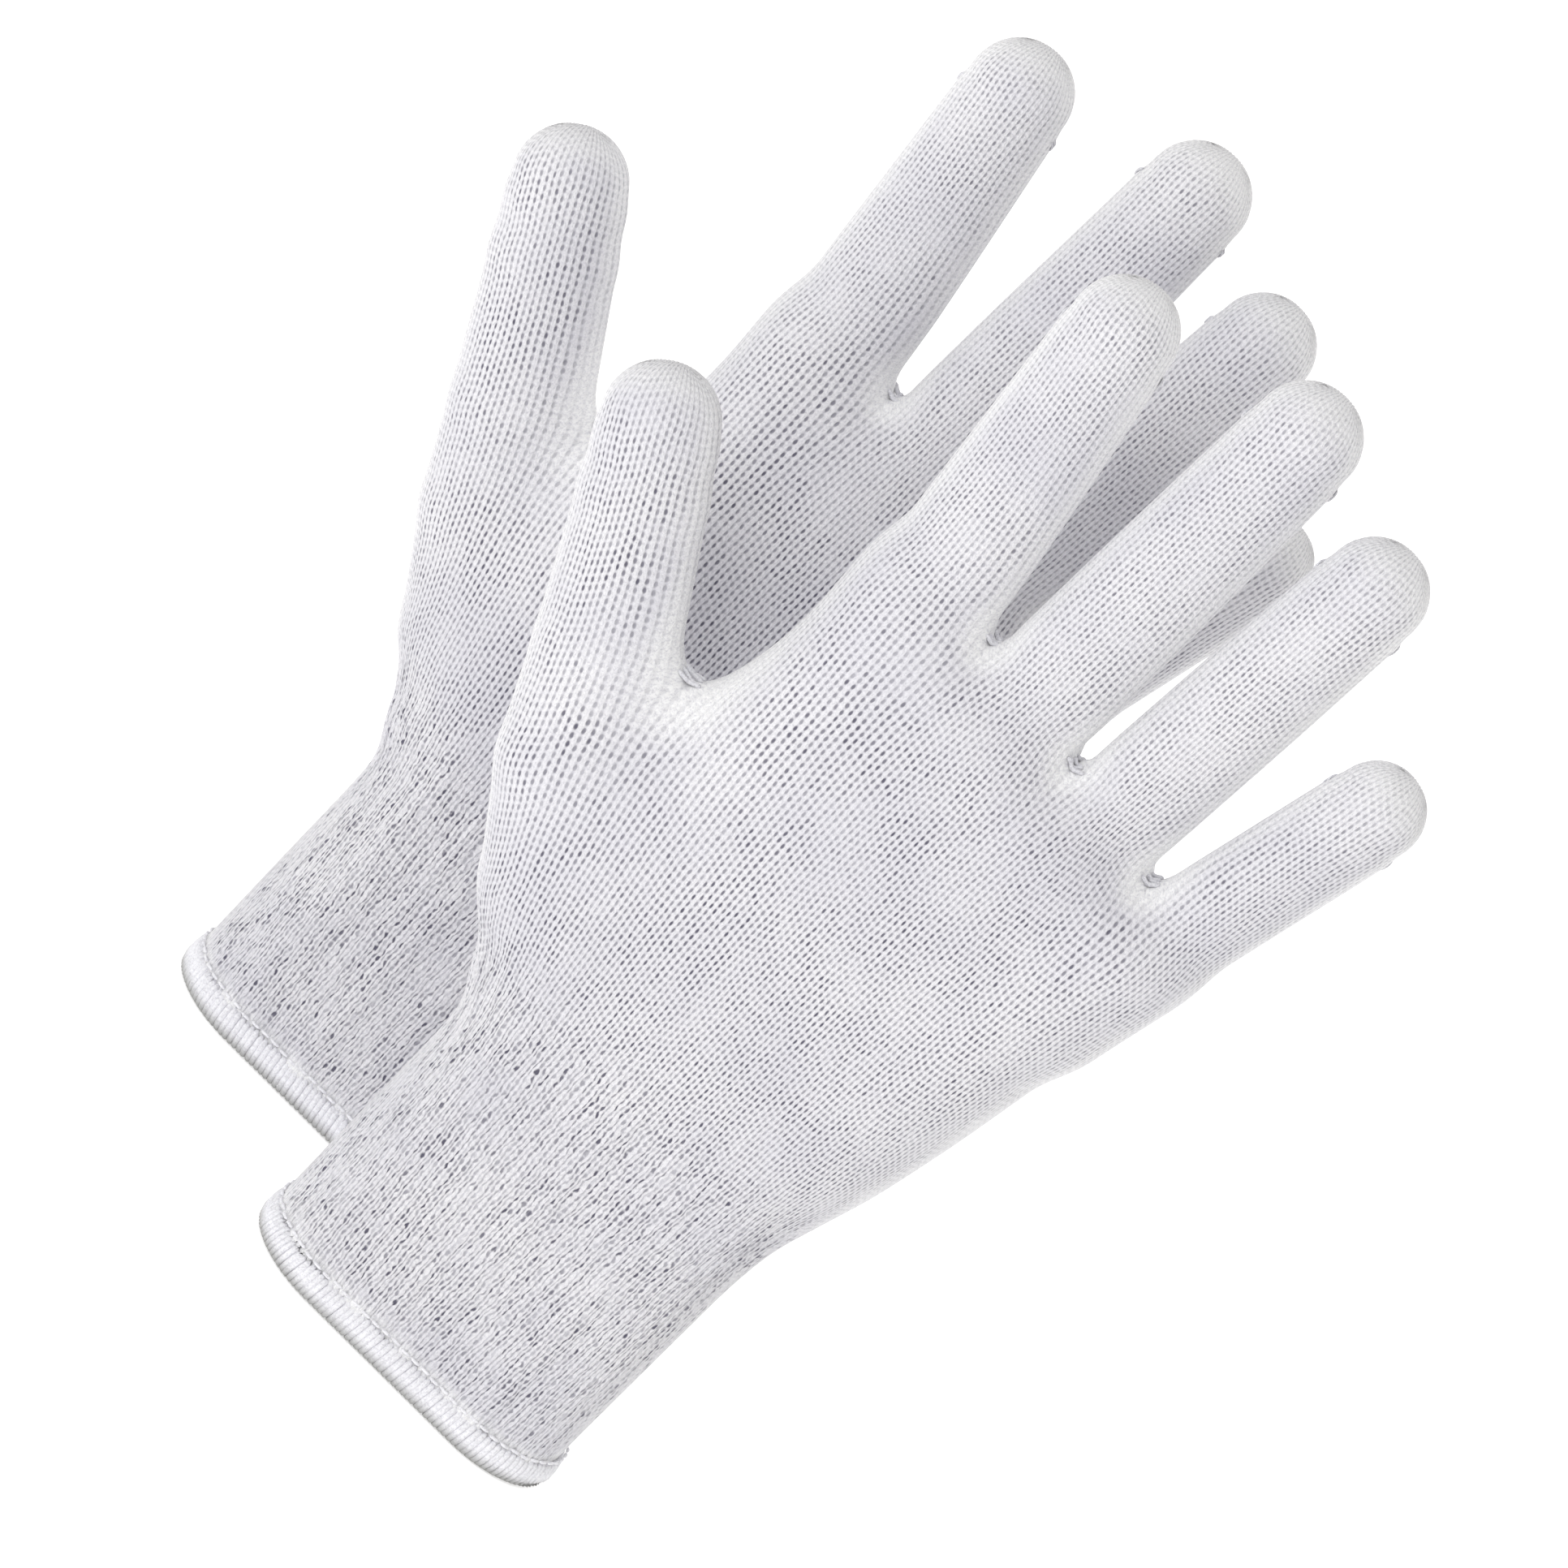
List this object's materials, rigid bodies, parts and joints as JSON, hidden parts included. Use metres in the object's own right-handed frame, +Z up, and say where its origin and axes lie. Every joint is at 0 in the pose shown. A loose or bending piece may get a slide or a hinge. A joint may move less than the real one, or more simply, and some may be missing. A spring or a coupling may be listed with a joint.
{
  "type": "cut resistant glove",
  "caption": "Seamless knitted cut resistant gloves with rib cuffs and overlocked hems, standing hand-shaped, with fingers that bend.",
  "frame": {"origin": "middle of the left glove's cuff edge, on the surface that the gloves stand on", "axes": "+Z up, from the cuffs to the fingertips; X across the hands, with the thumbs towards -X; the left glove's palm faces -Y and the right glove's palm +Y"},
  "size_m": [0.1943, 0.0942, 0.2407],
  "materials": {
    "glove_knit": "plain seamless knit of white cut resistant yarn with grey shadows between its stitches",
    "rib_knit": "one by one rib knit of the same white yarn",
    "overlock_thread": "dense overlocked white polyester thread",
    "sewing_yarn": "plain white yarn",
    "elastic_yarn": "white covered elastic yarn"
  },
  "bodies": {
    "right_palm": {"right_palm": "glove_knit", "right_rib_cuff": "rib_knit", "right_hem_overlock": "overlock_thread", "right_hem_stitch": "sewing_yarn", "right_cuff_elastic": "elastic_yarn", "right_crotch_tacks": "sewing_yarn", "right_thumb_knuckle": "glove_knit", "right_index_knuckle": "glove_knit", "right_middle_knuckle": "glove_knit", "right_ring_knuckle": "glove_knit", "right_little_knuckle": "glove_knit"},
    "right_thumb_base": {"right_thumb_base": "glove_knit", "right_thumb_joint": "glove_knit"},
    "right_thumb_tip": {"right_thumb_tip": "glove_knit"},
    "right_index_base": {"right_index_base": "glove_knit", "right_index_joint": "glove_knit"},
    "right_index_tip": {"right_index_tip": "glove_knit"},
    "right_middle_base": {"right_middle_base": "glove_knit", "right_middle_joint": "glove_knit"},
    "right_middle_tip": {"right_middle_tip": "glove_knit"},
    "right_ring_base": {"right_ring_base": "glove_knit", "right_ring_joint": "glove_knit"},
    "right_ring_tip": {"right_ring_tip": "glove_knit"},
    "right_little_base": {"right_little_base": "glove_knit", "right_little_joint": "glove_knit"},
    "right_little_tip": {"right_little_tip": "glove_knit"},
    "left_palm": {"left_palm": "glove_knit", "left_rib_cuff": "rib_knit", "left_hem_overlock": "overlock_thread", "left_hem_stitch": "sewing_yarn", "left_cuff_elastic": "elastic_yarn", "left_crotch_tacks": "sewing_yarn", "left_thumb_knuckle": "glove_knit", "left_index_knuckle": "glove_knit", "left_middle_knuckle": "glove_knit", "left_ring_knuckle": "glove_knit", "left_little_knuckle": "glove_knit"},
    "left_thumb_base": {"left_thumb_base": "glove_knit", "left_thumb_joint": "glove_knit"},
    "left_thumb_tip": {"left_thumb_tip": "glove_knit"},
    "left_index_base": {"left_index_base": "glove_knit", "left_index_joint": "glove_knit"},
    "left_index_tip": {"left_index_tip": "glove_knit"},
    "left_middle_base": {"left_middle_base": "glove_knit", "left_middle_joint": "glove_knit"},
    "left_middle_tip": {"left_middle_tip": "glove_knit"},
    "left_ring_base": {"left_ring_base": "glove_knit", "left_ring_joint": "glove_knit"},
    "left_ring_tip": {"left_ring_tip": "glove_knit"},
    "left_little_base": {"left_little_base": "glove_knit", "left_little_joint": "glove_knit"},
    "left_little_tip": {"left_little_tip": "glove_knit"}
  },
  "joints": [
    {"name": "right_thumb_knuckle_bend", "type": "hinge", "parent": "right_palm", "child": "right_thumb_base", "pos_m": [-0.10422, 0.06, 0.12312], "axis": [-0.7108, 0.5736, -0.4071], "range_deg": [0, 50], "deforming": ["right_thumb_knuckle"]},
    {"name": "right_thumb_joint_bend", "type": "hinge", "parent": "right_thumb_base", "child": "right_thumb_tip", "pos_m": [-0.11492, 0.06, 0.1418], "axis": [-0.7108, 0.5736, -0.4071], "range_deg": [0, 65], "deforming": ["right_thumb_joint"]},
    {"name": "right_index_knuckle_bend", "type": "hinge", "parent": "right_palm", "child": "right_index_base", "pos_m": [-0.06988, 0.06, 0.17982], "axis": [-0.9903, 0, -0.1392], "range_deg": [0, 70], "deforming": ["right_index_knuckle"]},
    {"name": "right_index_joint_bend", "type": "hinge", "parent": "right_index_base", "child": "right_index_tip", "pos_m": [-0.07294, 0.06, 0.20166], "axis": [-0.9903, 0, -0.1392], "range_deg": [0, 70], "deforming": ["right_index_joint"]},
    {"name": "right_middle_knuckle_bend", "type": "hinge", "parent": "right_palm", "child": "right_middle_base", "pos_m": [-0.04256, 0.06, 0.17372], "axis": [-0.9998, 0, 0.0175], "range_deg": [0, 70], "deforming": ["right_middle_knuckle"]},
    {"name": "right_middle_joint_bend", "type": "hinge", "parent": "right_middle_base", "child": "right_middle_tip", "pos_m": [-0.04204, 0.06, 0.20348], "axis": [-0.9998, 0, 0.0175], "range_deg": [0, 70], "deforming": ["right_middle_joint"]},
    {"name": "right_ring_knuckle_bend", "type": "hinge", "parent": "right_palm", "child": "right_ring_base", "pos_m": [-0.01886, 0.06, 0.16913], "axis": [-0.9976, 0, 0.0698], "range_deg": [0, 70], "deforming": ["right_ring_knuckle"]},
    {"name": "right_ring_joint_bend", "type": "hinge", "parent": "right_ring_base", "child": "right_ring_tip", "pos_m": [-0.01703, 0.06, 0.19532], "axis": [-0.9976, 0, 0.0698], "range_deg": [0, 70], "deforming": ["right_ring_joint"]},
    {"name": "right_little_knuckle_bend", "type": "hinge", "parent": "right_palm", "child": "right_little_base", "pos_m": [0.00396, 0.06, 0.16213], "axis": [-0.9763, 0, 0.2164], "range_deg": [0, 70], "deforming": ["right_little_knuckle"]},
    {"name": "right_little_joint_bend", "type": "hinge", "parent": "right_little_base", "child": "right_little_tip", "pos_m": [0.00791, 0.06, 0.17994], "axis": [-0.9763, 0, 0.2164], "range_deg": [0, 70], "deforming": ["right_little_joint"]},
    {"name": "left_glove_lift", "type": "slide", "parent": "right_palm", "child": "left_palm", "axis": [0, 0, 1], "range_m": [0, 0.26]},
    {"name": "left_thumb_knuckle_bend", "type": "hinge", "parent": "left_palm", "child": "left_thumb_base", "pos_m": [-0.06122, 0, 0.12312], "axis": [0.7108, 0.5736, 0.4071], "range_deg": [0, 50], "deforming": ["left_thumb_knuckle"]},
    {"name": "left_thumb_joint_bend", "type": "hinge", "parent": "left_thumb_base", "child": "left_thumb_tip", "pos_m": [-0.07192, 0, 0.1418], "axis": [0.7108, 0.5736, 0.4071], "range_deg": [0, 65], "deforming": ["left_thumb_joint"]},
    {"name": "left_index_knuckle_bend", "type": "hinge", "parent": "left_palm", "child": "left_index_base", "pos_m": [-0.02687, 0, 0.17982], "axis": [0.9903, 0, 0.1392], "range_deg": [0, 70], "deforming": ["left_index_knuckle"]},
    {"name": "left_index_joint_bend", "type": "hinge", "parent": "left_index_base", "child": "left_index_tip", "pos_m": [-0.02994, 0, 0.20166], "axis": [0.9903, 0, 0.1392], "range_deg": [0, 70], "deforming": ["left_index_joint"]},
    {"name": "left_middle_knuckle_bend", "type": "hinge", "parent": "left_palm", "child": "left_middle_base", "pos_m": [0.00044, 0, 0.17372], "axis": [0.9998, 0, -0.0175], "range_deg": [0, 70], "deforming": ["left_middle_knuckle"]},
    {"name": "left_middle_joint_bend", "type": "hinge", "parent": "left_middle_base", "child": "left_middle_tip", "pos_m": [0.00096, 0, 0.20348], "axis": [0.9998, 0, -0.0175], "range_deg": [0, 70], "deforming": ["left_middle_joint"]},
    {"name": "left_ring_knuckle_bend", "type": "hinge", "parent": "left_palm", "child": "left_ring_base", "pos_m": [0.02414, 0, 0.16913], "axis": [0.9976, 0, -0.0698], "range_deg": [0, 70], "deforming": ["left_ring_knuckle"]},
    {"name": "left_ring_joint_bend", "type": "hinge", "parent": "left_ring_base", "child": "left_ring_tip", "pos_m": [0.02597, 0, 0.19532], "axis": [0.9976, 0, -0.0698], "range_deg": [0, 70], "deforming": ["left_ring_joint"]},
    {"name": "left_little_knuckle_bend", "type": "hinge", "parent": "left_palm", "child": "left_little_base", "pos_m": [0.04696, 0, 0.16213], "axis": [0.9763, 0, -0.2164], "range_deg": [0, 70], "deforming": ["left_little_knuckle"]},
    {"name": "left_little_joint_bend", "type": "hinge", "parent": "left_little_base", "child": "left_little_tip", "pos_m": [0.05091, 0, 0.17994], "axis": [0.9763, 0, -0.2164], "range_deg": [0, 70], "deforming": ["left_little_joint"]}
  ]
}
